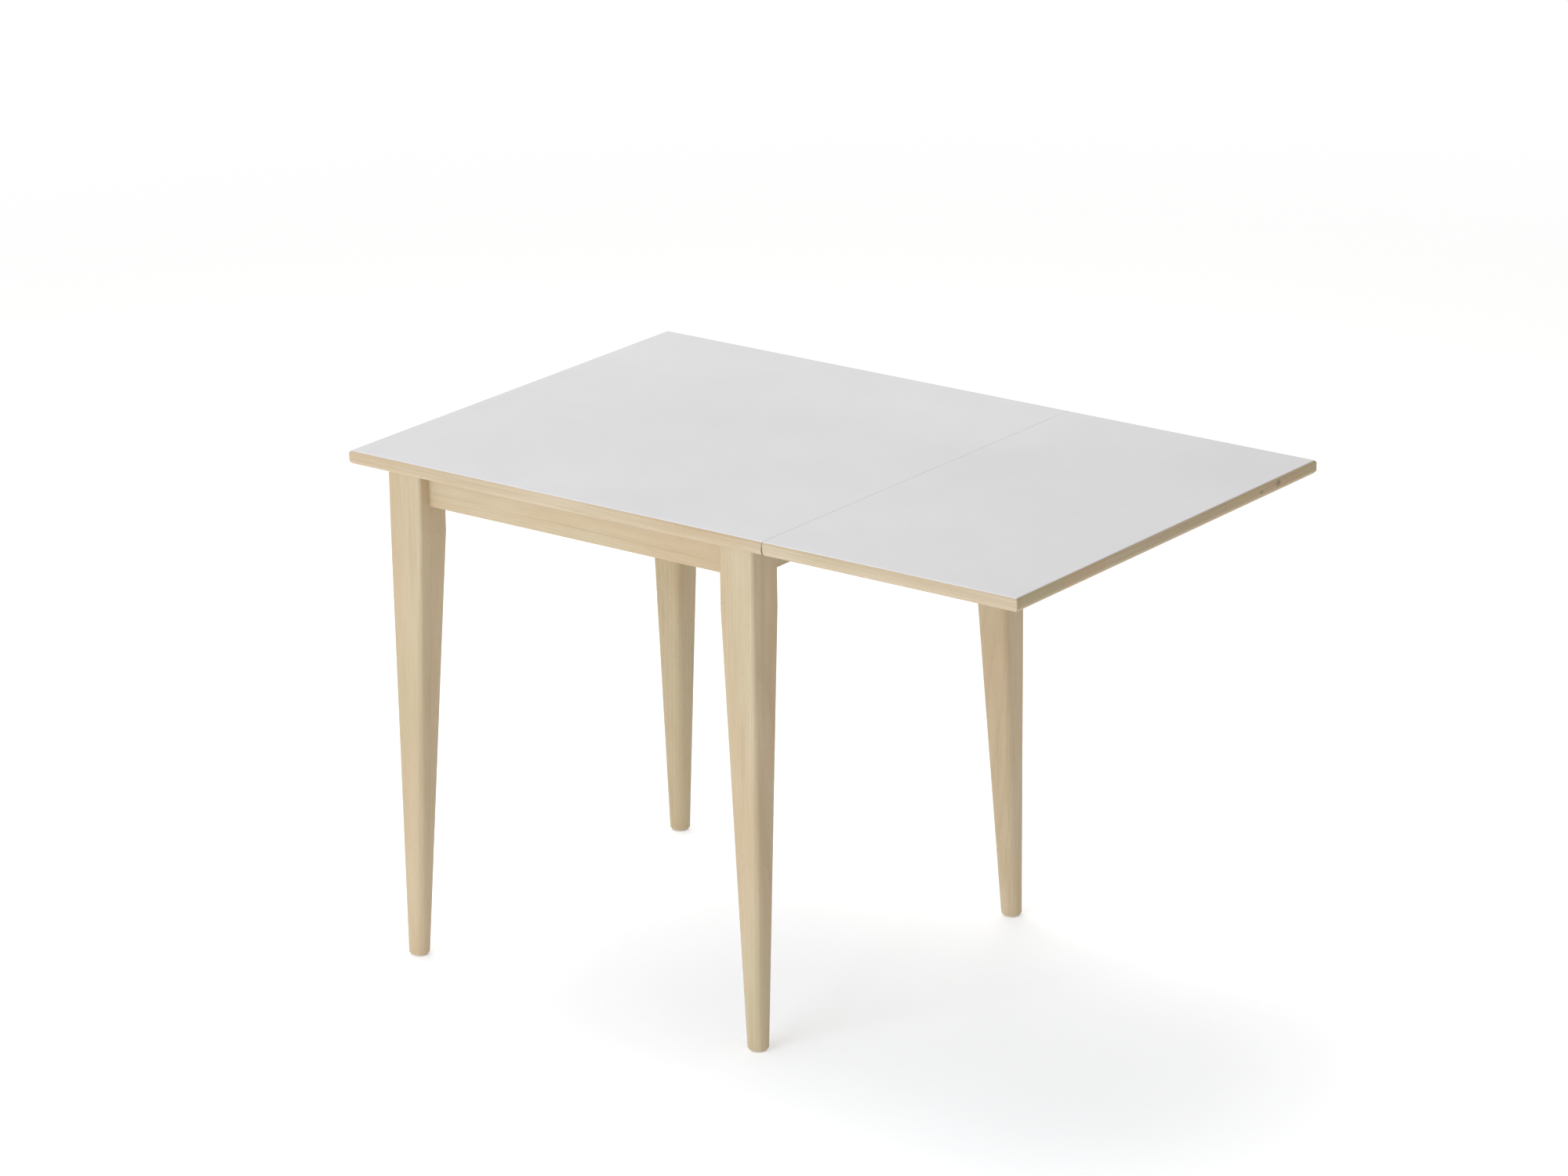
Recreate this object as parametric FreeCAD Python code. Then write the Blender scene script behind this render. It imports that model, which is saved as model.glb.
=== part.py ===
import FreeCAD, Part
import math
import os

# Drop-leaf table: a fixed top on four tapered legs, and a leaf hinged to its right-hand end.
#
# Millimetres. The origin is on the floor, under the middle of the open table.
# +X runs along the table from the fixed top to the leaf, +Y to the back, +Z up.

V = FreeCAD.Vector
UP = V(0, 0, 1)

# Driving dimensions
TABLE_LENGTH = 1100.0
TABLE_DEPTH = 700.0
TABLE_HEIGHT = 740.0
LEAF_LENGTH = 400.0
TOP_THICKNESS = 20.0

LEG_BLOCK = 56.0            # side of the square part of a leg
LEG_FOOT = 29.0             # diameter of a leg at the floor
LEG_TAPER_HEIGHT = 617.0    # the leg is square above this height
LEG_ROUNDING = 5.0          # radius of the square part's corners
FOOT_ROUNDING = 14.3        # the same at the foot: nearly a circle
FOOT_EASING = 1.5           # the rim of the foot
OVERHANG_LEFT = 33.0        # fixed top past the left legs
OVERHANG_SIDES = 40.0       # top past the legs, front and back
SEAM_TO_LEG = 46.0          # seam to the right legs

APRON_THICKNESS = 20.0
APRON_HEIGHT = 60.0
APRON_INSET = 20.0          # apron face behind the leg face
EASED_EDGE = 1.5            # rounding along the aprons' lower edges

# Top panels
LAMINATE = 0.8
LIPPING_WIDTH = 12.0
UNDER_ROUNDING = 8.0        # radius of the lower edge
TOP_BEVEL = 2.2
CORNER_RADIUS = 1.5
SEAM_GAP = 0.3              # between the laminates
SEAM_UNDERCUT = 1.5         # how far each seam edge leans back at the underside

# Small hardware
FIT = 0.03                  # radial play of what is pressed or screwed in
RUNNING = 0.05              # radial play of what turns
PLATE = 2.0                 # flaps, flanges and angle brackets
WEB = 2.5                   # upright plates of the leaf brackets
SCREW_RADIUS = 2.0
SCREW_HEAD_RADIUS = 3.7
SCREW_HEAD_HEIGHT = 2.2
SUNK_HEAD_HEIGHT = SCREW_HEAD_HEIGHT / 1.3
SHORT_SCREW = 16.0
LONG_SCREW = 22.0
DOWEL_RADIUS = 4.0
DOWEL_LENGTH = 40.0
DOWEL_EDGE = 15.0           # dowel to the apron's upper or lower edge
GLIDE_HEIGHT = 3.0
GLIDE_RADIUS = 12.0

# Worked out from the above
LEFT_END = -TABLE_LENGTH / 2
RIGHT_END = TABLE_LENGTH / 2
HALF_DEPTH = TABLE_DEPTH / 2
SEAM_X = RIGHT_END - LEAF_LENGTH
UNDERSIDE = TABLE_HEIGHT - TOP_THICKNESS
WOOD_TOP = TABLE_HEIGHT - LAMINATE
APRON_BOTTOM = UNDERSIDE - APRON_HEIGHT
LEG_LEFT_X = LEFT_END + OVERHANG_LEFT + LEG_BLOCK / 2
LEG_RIGHT_X = SEAM_X - SEAM_TO_LEG - LEG_BLOCK / 2
LEG_Y = HALF_DEPTH - OVERHANG_SIDES - LEG_BLOCK / 2
FOOT_SHIFT = (LEG_BLOCK - LEG_FOOT) / 2     # keeps the two outer faces of a leg upright
APRON_OUT = LEG_BLOCK / 2 - APRON_INSET     # apron faces, measured from the leg's middle
APRON_IN = APRON_OUT - APRON_THICKNESS
APRON_MIDDLE = (APRON_OUT + APRON_IN) / 2

# The leaf turns about a line along Y, just under the seam
AXIS_DROP = 6.0
AXIS_X = SEAM_X
AXIS_Z = UNDERSIDE - AXIS_DROP

# Each leg: its name, its middle's x and y, and which way along x and y the table's inside lies
LEGS = [
    ("front_left", LEG_LEFT_X, -LEG_Y, 1, 1),
    ("back_left", LEG_LEFT_X, LEG_Y, 1, -1),
    ("front_right", LEG_RIGHT_X, -LEG_Y, -1, 1),
    ("back_right", LEG_RIGHT_X, LEG_Y, -1, -1),
]

parts = {}


# ---------------------------------------------------------------- general shapes

def box(x0, x1, y0, y1, z0, z1):
    return Part.makeBox(x1 - x0, y1 - y0, z1 - z0, V(x0, y0, z0))


def plan_prism(points, z0, z1):
    """An outline of (x, y) points, from height z0 to z1."""
    corners = [V(x, y, z0) for x, y in points]
    return Part.Face(Part.makePolygon(corners + corners[:1])).extrude(UP * (z1 - z0))


def side_prism(points, y0, y1):
    """An outline of (x, z) points, from depth y0 to y1."""
    corners = [V(x, y0, z) for x, z in points]
    return Part.Face(Part.makePolygon(corners + corners[:1])).extrude(V(0, y1 - y0, 0))


def cross_rod(x, z, y0, y1, radius):
    """A round bar along Y."""
    return Part.makeCylinder(radius, y1 - y0, V(x, y0, z), V(0, 1, 0))


def headed_pin(x, z, length, radius, head_radius):
    """A rivet along Y from 0 to length, with a head just beyond each end."""
    thickness, play = 1.4, 0.1
    return join([
        cross_rod(x, z, -thickness, length + thickness, radius),
        cross_rod(x, z, -thickness, -play, head_radius),
        cross_rod(x, z, length + play, length + thickness, head_radius),
    ])


def aim(shape, point, direction):
    """A shape drawn along +Z from the origin, put at a point and turned to a direction."""
    moved = shape.copy()
    moved.Placement = FreeCAD.Placement(point, FreeCAD.Rotation(UP, direction))
    return moved


def cut(shape, tools):
    return shape.cut(tools).Solids[0]


def join(shapes):
    return shapes[0].fuse(shapes[1:]).removeSplitter().Solids[0]


def mirrored(shape):
    """The back one of a pair whose front one is given."""
    return shape.mirror(V(0, 0, 0), V(0, 1, 0))


def drill(nodes, tools):
    for node in nodes:
        parts[node] = cut(parts[node], tools)


# ---------------------------------------------------------------- screws

def cross_recess():
    """The driver's cross in a screw head, below the origin."""
    length, width, depth = 4.0, 0.9, 1.2
    top = -SCREW_HEAD_HEIGHT
    one = box(-length / 2, length / 2, -width / 2, width / 2, top, top + depth)
    other = box(-width / 2, width / 2, -length / 2, length / 2, top, top + depth)
    return [one, other]


def shank(length, radius):
    """A screw's shank, with its point."""
    point = 1.5 * radius
    straight = Part.makeCylinder(radius, length - point)
    tip = Part.makeCone(radius, radius / 4, point, V(0, 0, length - point))
    return straight.fuse(tip)


def pan_screw(seat, direction, length):
    """A screw whose domed head sits on the point seat."""
    head = Part.makeCylinder(SCREW_HEAD_RADIUS, SCREW_HEAD_HEIGHT, V(0, 0, -SCREW_HEAD_HEIGHT))
    rim = [edge for edge in head.Edges if edge.CenterOfMass.z < -SCREW_HEAD_HEIGHT + 0.1]
    head = head.makeFillet(1.0, rim[:1])
    screw = join([head, shank(length, SCREW_RADIUS)])
    return aim(cut(screw, cross_recess()), seat, direction)


def pilot_hole(seat, direction, length):
    return aim(Part.makeCylinder(SCREW_RADIUS + FIT, length + FIT), seat, direction)


def sunk_cone(extra):
    return Part.makeCone(SCREW_HEAD_RADIUS + extra, SCREW_RADIUS + extra, SUNK_HEAD_HEIGHT)


def sunk_screw(face, direction, length):
    """A countersunk screw whose head is flush with the point face."""
    screw = join([sunk_cone(0), shank(length, SCREW_RADIUS)])
    slots = [slot.translated(UP * SCREW_HEAD_HEIGHT) for slot in cross_recess()]
    return aim(cut(screw, slots), face, direction)


def sunk_hole(face, direction, length):
    hole = sunk_cone(FIT).fuse(Part.makeCylinder(SCREW_RADIUS + FIT, length + FIT))
    return aim(hole, face, direction)


# ---------------------------------------------------------------- legs

def rounded_square(middle_x, middle_y, side, radius, z):
    """A closed outline of four straight edges and four quarter circles."""
    half = side / 2
    flat = half - radius
    edges = []
    for turn in range(4):
        spin = FreeCAD.Rotation(UP, 90 * turn)
        ends = [V(half, -flat, 0), V(half, flat, 0), V(flat, half, 0)]
        bend = V(flat + radius * 0.5 ** 0.5, flat + radius * 0.5 ** 0.5, 0)
        place = [spin.multVec(p) + V(middle_x, middle_y, z) for p in ends + [bend]]
        edges.append(Part.makeLine(place[0], place[1]))
        edges.append(Part.Arc(place[1], place[3], place[2]).toShape())
    return Part.Wire(edges)


def make_leg(name, x, y, inward_x, inward_y):
    """Square at the apron, then tapered on its two inner faces to a round foot."""
    foot_x = x - inward_x * FOOT_SHIFT
    foot_y = y - inward_y * FOOT_SHIFT
    eased_side = LEG_FOOT - 2 * FOOT_EASING
    eased_rounding = FOOT_ROUNDING - 1.4
    sections = [
        rounded_square(x, y, LEG_BLOCK, LEG_ROUNDING, UNDERSIDE),
        rounded_square(x, y, LEG_BLOCK, LEG_ROUNDING, LEG_TAPER_HEIGHT),
        rounded_square(foot_x, foot_y, LEG_FOOT, FOOT_ROUNDING, GLIDE_HEIGHT + FOOT_EASING),
        rounded_square(foot_x, foot_y, eased_side, eased_rounding, GLIDE_HEIGHT),
    ]
    leg = Part.makeLoft(sections, True, True)
    glide = Part.makeCylinder(GLIDE_RADIUS, GLIDE_HEIGHT, V(foot_x, foot_y, 0))
    rim = [edge for edge in glide.Edges if edge.CenterOfMass.z < 0.1]
    glide = glide.makeFillet(1.0, rim[:1])
    stem_radius, stem_length = 3.0, 14.0
    seat = V(foot_x, foot_y, GLIDE_HEIGHT)
    stem = Part.makeCylinder(stem_radius, stem_length, seat)
    stem_hole = Part.makeCylinder(stem_radius + FIT, stem_length + FIT, seat)
    parts["leg_" + name] = cut(leg, [stem_hole])
    parts["foot_glide_" + name] = join([glide, stem])


# ---------------------------------------------------------------- aprons

def apron(x0, x1, y0, y1):
    """A rail under the top, with its two lower edges eased."""
    rail = box(x0, x1, y0, y1, APRON_BOTTOM, UNDERSIDE)
    lower = [edge for edge in rail.Edges
             if edge.CenterOfMass.z < APRON_BOTTOM + 1 and edge.Length > APRON_THICKNESS + 1]
    return rail.makeFillet(EASED_EDGE, lower)


def make_aprons():
    x0 = LEG_LEFT_X + LEG_BLOCK / 2
    x1 = LEG_RIGHT_X - LEG_BLOCK / 2
    y_end = LEG_Y - LEG_BLOCK / 2
    out_y = LEG_Y + APRON_OUT
    in_y = LEG_Y + APRON_IN
    left = LEG_LEFT_X - APRON_OUT
    end = LEG_RIGHT_X + APRON_OUT
    parts["apron_front"] = apron(x0, x1, -out_y, -in_y)
    parts["apron_back"] = apron(x0, x1, in_y, out_y)
    parts["apron_left"] = apron(left, left + APRON_THICKNESS, -y_end, y_end)
    parts["apron_end"] = apron(end - APRON_THICKNESS, end, -y_end, y_end)


def make_dowels():
    """Two dowels at each end of each apron, half in the apron and half in the leg."""
    dowels = []
    for name, x, y, inward_x, inward_y in LEGS:
        joints = [
            (V(inward_x, 0, 0), V(x, y - inward_y * APRON_MIDDLE, 0), "front" if y < 0 else "back"),
            (V(0, inward_y, 0), V(x - inward_x * APRON_MIDDLE, y, 0), "left" if x < 0 else "end"),
        ]
        for direction, middle, side in joints:
            for height in (APRON_BOTTOM + DOWEL_EDGE, UNDERSIDE - DOWEL_EDGE):
                start = middle + direction * (LEG_BLOCK / 2 - DOWEL_LENGTH / 2) + UP * height
                dowels.append(Part.makeCylinder(DOWEL_RADIUS, DOWEL_LENGTH, start, direction))
                hole_start = start - direction
                hole = Part.makeCylinder(DOWEL_RADIUS + FIT, DOWEL_LENGTH + 2, hole_start, direction)
                drill(["leg_" + name, "apron_" + side], [hole])
    parts["apron_dowels"] = Part.makeCompound(dowels)


# ---------------------------------------------------------------- corner blocks and leg bolts

BLOCK_REACH = 45.0          # along each apron, past the leg
BLOCK_GAP = 5.0             # block to apron edges, top and bottom
POCKET_DEPTH = 8.0          # wood left between a pocket and its apron
POCKET_FROM_END = 16.0      # pocket to the block's end
BOLT_RADIUS = 4.0
BOLT_START = 12.0           # leg's middle to the bolt's end inside the leg
BOLT_PAST_NUT = 3.0
WASHER_RADIUS = 9.0
WASHER_THICKNESS = 1.6
NUT_HEIGHT = 6.5
NUT_ACROSS_FLATS = 13.0


def hexagon(across_flats, height):
    radius = across_flats / 3 ** 0.5
    corners = [FreeCAD.Rotation(UP, 60 * k).multVec(V(radius, 0, 0)) for k in range(7)]
    return Part.Face(Part.makePolygon(corners)).extrude(UP * height)


def make_corner_blocks():
    """A triangular block behind each leg; a hanger bolt through it pulls the leg in."""
    bolts, nuts, washers, screws = [], [], [], []
    side = LEG_BLOCK / 2
    apron = -APRON_IN
    reach = side + BLOCK_REACH
    outline = [(side, apron), (reach, apron), (apron, reach), (apron, side), (side, side)]
    face_distance = (reach + apron) / 2 ** 0.5      # leg's middle to the block's long face
    height = (UNDERSIDE + APRON_BOTTOM) / 2
    for name, x, y, inward_x, inward_y in LEGS:
        corners = [(x + inward_x * u, y + inward_y * v) for u, v in outline]
        block = plan_prism(corners, APRON_BOTTOM + BLOCK_GAP, UNDERSIDE - BLOCK_GAP)
        inward = V(inward_x, inward_y, 0).normalize()
        middle = V(x, y, height)
        start = middle + inward * BOLT_START
        length = face_distance + WASHER_THICKNESS + NUT_HEIGHT + BOLT_PAST_NUT - BOLT_START
        bolt_hole = Part.makeCylinder(BOLT_RADIUS + FIT, length + FIT, start, inward)
        clearance_hole = Part.makeCylinder(BOLT_RADIUS + 0.5, length, start, inward)
        nut_hole = Part.makeCylinder(BOLT_RADIUS + FIT, NUT_HEIGHT + 2, V(0, 0, -1))
        washer = Part.makeCylinder(WASHER_RADIUS, WASHER_THICKNESS)
        washer_seat = middle + inward * face_distance
        nut = cut(hexagon(NUT_ACROSS_FLATS, NUT_HEIGHT), [nut_hole])
        bolts.append(Part.makeCylinder(BOLT_RADIUS, length, start, inward))
        washers.append(aim(cut(washer, [nut_hole]), washer_seat, inward))
        nuts.append(aim(nut, washer_seat + inward * WASHER_THICKNESS, inward))
        drill(["leg_" + name], [bolt_hole])
        block = cut(block, [clearance_hole])

        # one screw into each apron, in a pocket bored into the long face
        along = reach - POCKET_FROM_END
        off = apron + POCKET_DEPTH
        to_back_or_front = V(0, -inward_y, 0)
        to_side = V(-inward_x, 0, 0)
        seats = [
            (V(x + inward_x * along, y + inward_y * off, height),
             to_back_or_front, "front" if y < 0 else "back"),
            (V(x + inward_x * off, y + inward_y * along, height),
             to_side, "left" if x < 0 else "end"),
        ]
        for seat, direction, apron_name in seats:
            pocket = Part.makeCylinder(SCREW_HEAD_RADIUS + 1, 20, seat, direction * -1)
            pilot = pilot_hole(seat, direction, LONG_SCREW)
            screws.append(pan_screw(seat, direction, LONG_SCREW))
            drill(["apron_" + apron_name], [pilot])
            block = cut(block, [pocket, pilot])
        parts["corner_block_" + name] = block
    parts["hanger_bolts"] = Part.makeCompound(bolts)
    parts["hanger_washers"] = Part.makeCompound(washers)
    parts["hanger_nuts"] = Part.makeCompound(nuts)
    parts["corner_block_screws"] = Part.makeCompound(screws)


# ---------------------------------------------------------------- angle brackets, aprons to top

def make_angle_brackets():
    """Eight steel angles: one screw into the apron, one up into the top."""
    brackets, screws = [], []
    reach, width = 25.0, 18.0
    screw_reach = 15.0
    upright = box(0, PLATE, -width / 2, width / 2, -reach, 0)
    flat = box(0, reach, -width / 2, width / 2, -PLATE, 0)
    apron_seat = V(PLATE, 0, -screw_reach)
    top_seat = V(screw_reach, 0, -PLATE)
    angle = join([upright, flat])
    angle = cut(angle, [pilot_hole(apron_seat, V(-1, 0, 0), PLATE), pilot_hole(top_seat, UP, PLATE)])

    middle_x = (LEG_LEFT_X + LEG_RIGHT_X) / 2
    inner_y = LEG_Y + APRON_IN
    inner_left = LEG_LEFT_X - APRON_IN
    inner_end = LEG_RIGHT_X + APRON_IN
    places = []
    long_apart, short_apart = 300.0, 240.0
    for half in (-0.5, 0.5):
        x, y = middle_x + half * long_apart, half * short_apart
        places.append(("apron_front", x, -inner_y, 90))
        places.append(("apron_back", x, inner_y, -90))
        places.append(("apron_left", inner_left, y, 0))
        places.append(("apron_end", inner_end, y, 180))
    for apron, x, y, turn in places:
        spin = FreeCAD.Rotation(UP, turn)
        corner = V(x, y, UNDERSIDE)
        bracket = angle.copy()
        bracket.Placement = FreeCAD.Placement(corner, spin)
        brackets.append(bracket)
        into_apron = spin.multVec(V(-1, 0, 0))
        seat = corner + spin.multVec(apron_seat)
        screws.append(pan_screw(seat, into_apron, SHORT_SCREW))
        drill([apron], [pilot_hole(seat, into_apron, SHORT_SCREW)])
        seat = corner + spin.multVec(top_seat)
        screws.append(pan_screw(seat, UP, SHORT_SCREW))
        drill(["fixed_top_core", "fixed_top_backer"], [pilot_hole(seat, UP, SHORT_SCREW)])
    parts["apron_angle_brackets"] = Part.makeCompound(brackets)
    parts["angle_bracket_screws"] = Part.makeCompound(screws)


# ---------------------------------------------------------------- top panels

def edge_section(along_x):
    """A lipping's section: rounded below, bevelled above; its outer face is at 0."""
    width, low = LIPPING_WIDTH, UNDERSIDE
    rounding, bevel = UNDER_ROUNDING, TOP_BEVEL
    middle = rounding * (1 - 0.5 ** 0.5)

    def point(inward, z):
        return V(0, inward, z) if along_x else V(inward, 0, z)

    arc = Part.Arc(point(0, low + rounding), point(middle, low + middle), point(rounding, low))
    corners = [point(rounding, low), point(width, low), point(width, WOOD_TOP),
               point(bevel, WOOD_TOP), point(0, WOOD_TOP - bevel), point(0, low + rounding)]
    return Part.Face(Part.Wire([arc.toShape()] + Part.makePolygon(corners).Edges))


def panel_envelope(outer_x, seam_top_x, seam_low_x):
    """Everything of a panel lies inside this: its corners are eased and its seam edge leans."""
    outline = [(outer_x, UNDERSIDE), (seam_low_x, UNDERSIDE), (seam_top_x, TABLE_HEIGHT),
               (outer_x, TABLE_HEIGHT)]
    solid = side_prism(outline, -HALF_DEPTH, HALF_DEPTH)
    corners = [edge for edge in solid.Edges
               if abs(edge.CenterOfMass.x - outer_x) < 1 and abs(edge.CenterOfMass.y) > HALF_DEPTH - 1
               and edge.Length < TOP_THICKNESS + 1]
    return solid.makeFillet(CORNER_RADIUS, corners)


def make_panel(prefix, outer_x, side, outer_name):
    """A veneered board: core, laminate above, backer below, wooden lippings all round.

    side is -1 for the fixed top, which runs left from the seam, and 1 for the leaf.
    """
    seam_top_x = SEAM_X + side * SEAM_GAP / 2
    envelope = panel_envelope(outer_x, seam_top_x, seam_top_x + side * SEAM_UNDERCUT)
    core_outer = outer_x - side * LIPPING_WIDTH
    core_seam = seam_top_x + side * LIPPING_WIDTH
    low_x, high_x = sorted([core_outer, core_seam])
    core_y = HALF_DEPTH - LIPPING_WIDTH
    core_low = UNDERSIDE + LAMINATE
    parts[prefix + "_core"] = box(low_x, high_x, -core_y, core_y, core_low, WOOD_TOP)
    parts[prefix + "_backer"] = box(low_x, high_x, -core_y, core_y, UNDERSIDE, core_low)

    # the laminate runs over the lippings to the bevel, and right to the seam
    sheet_outer = outer_x - side * TOP_BEVEL
    sheet_x = sorted([sheet_outer, seam_top_x])
    sheet_y = HALF_DEPTH - TOP_BEVEL
    sheet = box(sheet_x[0], sheet_x[1], -sheet_y, sheet_y, WOOD_TOP, TABLE_HEIGHT)
    bevelled = [edge for edge in sheet.Edges if edge.CenterOfMass.z > TABLE_HEIGHT - 0.01
                and abs(edge.CenterOfMass.x - seam_top_x) > 1]
    parts[prefix + "_laminate"] = sheet.makeChamfer(LAMINATE - 0.05, bevelled)

    # front and back lippings run the whole length; the outer one is mitred between them
    length = abs(seam_top_x - outer_x)
    start_x = min(seam_top_x, outer_x)
    front = edge_section(True).extrude(V(length, 0, 0)).translated(V(start_x, -HALF_DEPTH, 0))
    width = LIPPING_WIDTH
    mitre = [(outer_x, -HALF_DEPTH), (outer_x - side * width, -core_y),
             (outer_x - side * width, core_y), (outer_x, HALF_DEPTH)]
    mitred_zone = plan_prism(mitre, UNDERSIDE - 1, TABLE_HEIGHT + 1)
    outer = edge_section(False).extrude(V(0, TABLE_DEPTH, 0)).translated(V(0, -HALF_DEPTH, 0))
    if side > 0:
        outer = outer.mirror(V(0, 0, 0), V(1, 0, 0))
    outer = outer.translated(V(outer_x, 0, 0))
    low_x, high_x = sorted([core_seam, seam_top_x])
    seam = box(low_x, high_x, -core_y, core_y, UNDERSIDE, WOOD_TOP)
    front = cut(front.common(envelope).Solids[0], [mitred_zone])
    parts[prefix + "_lipping_front"] = front
    parts[prefix + "_lipping_back"] = mirrored(front)
    parts[prefix + "_lipping_" + outer_name] = outer.common([mitred_zone]).common(envelope).Solids[0]
    parts[prefix + "_lipping_seam"] = seam.common(envelope).Solids[0]


# ---------------------------------------------------------------- butt hinges

HINGE_Y = -250.0            # middle of the front hinge; the back one mirrors it
HINGE_LENGTH = 60.0
HINGE_FLAP = 30.0           # axis to the flap's far edge
KNUCKLES = 5
KNUCKLE_RADIUS = 5.0
KNUCKLE_GAP = 0.2
HINGE_PIN_RADIUS = 2.0


def hinge_flap(side, odd_knuckles):
    """One flap, along Y from 0, about an axis through the origin; side is its way along X."""
    pitch = HINGE_LENGTH / KNUCKLES
    low, high = AXIS_DROP - PLATE, AXIS_DROP
    clear_of_knuckles = 3.6
    x0, x1 = sorted([side * clear_of_knuckles, side * HINGE_FLAP])
    pieces = [box(x0, x1, 0, HINGE_LENGTH, low, high)]
    for k in range(KNUCKLES):
        if k % 2 != odd_knuckles:
            continue
        y0 = pitch * k + KNUCKLE_GAP / 2
        y1 = pitch * (k + 1) - KNUCKLE_GAP / 2
        x0, x1 = sorted([0, side * HINGE_FLAP / 2])
        pieces.append(box(x0, x1, y0, y1, low, high))
        pieces.append(cross_rod(0, 0, y0, y1, KNUCKLE_RADIUS))
        gusset = [(side * 9, low + 0.5), (0, low + 0.5), (side * 4.6, 1.9)]
        pieces.append(side_prism(gusset, y0, y1))
    hole = cross_rod(0, 0, -1, HINGE_LENGTH + 1, HINGE_PIN_RADIUS + RUNNING)
    return cut(join(pieces), [hole])


def make_hinges():
    start = V(AXIS_X, HINGE_Y - HINGE_LENGTH / 2, AXIS_Z)
    pin = headed_pin(0, 0, HINGE_LENGTH, HINGE_PIN_RADIUS, 3.0).translated(start)
    parts["hinge_pins"] = Part.makeCompound([pin, mirrored(pin)])
    flaps = [("fixed", -1, 0, "fixed_top"), ("leaf", 1, 1, "leaf")]
    for label, side, odd, panel in flaps:
        flap = hinge_flap(side, odd).translated(start)
        screws = []
        for y, x in ((8, 18), (HINGE_LENGTH / 2, 21), (HINGE_LENGTH - 8, 18)):
            face = start + V(side * x, y, AXIS_DROP - PLATE)
            hole = sunk_hole(face, UP, SHORT_SCREW)
            screws.append(sunk_screw(face, UP, SHORT_SCREW))
            flap = cut(flap, [hole])
            drill([panel + "_core", panel + "_backer"], [hole, mirrored(hole)])
        parts["hinge_front_" + label + "_flap"] = flap
        parts["hinge_back_" + label + "_flap"] = mirrored(flap)
        pair = screws + [mirrored(screw) for screw in screws]
        parts["hinge_" + label + "_screws"] = Part.makeCompound(pair)


# ---------------------------------------------------------------- locking leaf brackets
#
# Drawn about the leaf's axis: (x, z) from the axis, y across the plates.
# The heel of the leaf arm hangs below the axis and carries a stud. With the leaf up,
# the latch's nose stands just left of the stud and stops it from swinging left, so the leaf
# can't drop. Pulling the latch's tab down clears the nose from the stud's path.

BRACKET_Y = -150.0          # the front bracket's base web; the back bracket mirrors it
PLATE_STEP = WEB + 0.5      # web to web
ARM_LENGTH = 180.0
PIVOT_RADIUS = 2.5
RIVET_HEAD = 4.2
STUD_X, STUD_Z = 4.0, -40.0
LATCH_X, LATCH_Z = -50.0, -46.0


def bracket_base():
    """Web with the pivot, a flange under the top and one against the end apron."""
    apron = LEG_RIGHT_X + APRON_OUT - AXIS_X
    low = APRON_BOTTOM - AXIS_Z
    back = apron + PLATE
    web = [(back, AXIS_DROP), (back, low), (LATCH_X + 8, low), (-4, -4), (0, 4.5), (-6, 4),
           (-10, AXIS_DROP)]
    flange = 22.0
    base = join([
        side_prism(web, 0, WEB),
        cross_rod(0, 0, 0, WEB, KNUCKLE_RADIUS),
        box(back, -10, -flange, WEB, AXIS_DROP - PLATE, AXIS_DROP),
        box(apron, back, -flange, WEB, low, AXIS_DROP),
    ])
    return cut(base, [cross_rod(0, 0, -1, WEB + 1, PIVOT_RADIUS + FIT),
                      cross_rod(LATCH_X, LATCH_Z, -1, WEB + 1, PIVOT_RADIUS + FIT)])


def bracket_arm():
    """Web beside the base's, with a flange under the leaf and the heel with the stud."""
    y0 = PLATE_STEP
    y1 = y0 + WEB
    web = [(8, AXIS_DROP), (ARM_LENGTH, AXIS_DROP), (ARM_LENGTH, -1), (40, -14), (20, -17),
           (11, -46), (-2, -46), (-4.9, -1), (0, 5)]
    arm = join([
        side_prism(web, y0, y1),
        cross_rod(0, 0, y0, y1, KNUCKLE_RADIUS),
        box(8, ARM_LENGTH, y0, y0 + 25, AXIS_DROP - PLATE, AXIS_DROP),
    ])
    return cut(arm, [cross_rod(0, 0, y0 - 1, y1 + 1, PIVOT_RADIUS + RUNNING),
                     cross_rod(STUD_X, STUD_Z, y0 - 1, y1 + 1, PIVOT_RADIUS + FIT)])


def bracket_latch():
    """Lever with a nose beside the stud and a finger tab below."""
    y0 = 2 * PLATE_STEP
    y1 = y0 + WEB
    nose = STUD_X - PIVOT_RADIUS - 0.2
    low, high = LATCH_Z - 5, LATCH_Z + 2
    lever = [(LATCH_X, low), (nose, low), (nose, high + 5.5), (nose - 2.5, high + 5.5),
             (nose - 5, high + 1), (nose - 5, high), (LATCH_X, high)]
    latch = join([
        side_prism(lever, y0, y1),
        cross_rod(LATCH_X, LATCH_Z, y0, y1, 6.0),
        box(-40, -20, y0, y0 + 12, low - PLATE, low + 0.1),
    ])
    return cut(latch, [cross_rod(LATCH_X, LATCH_Z, y0 - 1, y1 + 1, PIVOT_RADIUS + RUNNING)])


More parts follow.
